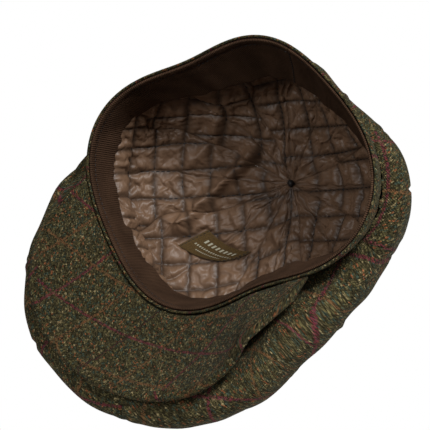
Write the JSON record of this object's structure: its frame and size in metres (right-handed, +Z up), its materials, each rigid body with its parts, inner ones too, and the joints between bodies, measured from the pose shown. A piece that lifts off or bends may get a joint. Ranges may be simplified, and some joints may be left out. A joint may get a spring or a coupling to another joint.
{
  "type": "newsboy cap",
  "caption": "Soft newsboy cap in checked tweed with a full gored crown, stiffened peak, ribbed sweatband, quilted satin lining and a covered top button.",
  "frame": {"origin": "centre of the head opening, in the plane of its rim", "axes": "+Z up as worn, -Y towards the peak, +X towards the wearer's left; the rim's plane leans 13 degrees up at the front because the cap rests on the back of its rim and the edge of its peak"},
  "size_m": [0.2251, 0.2596, 0.1182],
  "materials": {
    "tweed": "rough, hairy wool twill with a fine overcheck",
    "lining_satin": "soft sheen",
    "wadding": "fluffy",
    "interlining": "stiff canvas",
    "sweatband_twill": "matt ribbed twill",
    "dark_thread": "matt",
    "label_weave": "woven, slight sheen",
    "button_shell": "matt",
    "peak_board": "matt",
    "stud_metal": "satin"
  },
  "bodies": {
    "cap": {"crown_gore_1": "tweed", "crown_gore_2": "tweed", "crown_gore_3": "tweed", "crown_gore_4": "tweed", "crown_gore_5": "tweed", "crown_gore_6": "tweed", "crown_gore_7": "tweed", "crown_gore_8": "tweed", "headband_strip": "tweed", "headband_interlining": "interlining", "sweatband": "sweatband_twill", "sweatband_topstitch": "dark_thread", "lining_satin_1": "lining_satin", "lining_satin_2": "lining_satin", "lining_satin_3": "lining_satin", "lining_satin_4": "lining_satin", "lining_satin_5": "lining_satin", "lining_satin_6": "lining_satin", "lining_satin_7": "lining_satin", "lining_satin_8": "lining_satin", "lining_wadding_1": "wadding", "lining_wadding_2": "wadding", "lining_wadding_3": "wadding", "lining_wadding_4": "wadding", "lining_wadding_5": "wadding", "lining_wadding_6": "wadding", "lining_wadding_7": "wadding", "lining_wadding_8": "wadding", "label": "label_weave", "top_button_cover": "tweed", "top_button_shell": "button_shell", "button_tack": "dark_thread", "crown_press_socket": "stud_metal"},
    "peak": {"peak_under_cover": "tweed", "peak_board": "peak_board", "peak_padding": "wadding", "peak_top_cover": "tweed", "peak_press_stud": "stud_metal"}
  },
  "joints": [
    {"name": "peak_hinge", "type": "hinge", "parent": "cap", "child": "peak", "pos_m": [0, -0.00487, 0.00112], "axis": [1, 0, 0], "range_deg": [0, 12]}
  ]
}
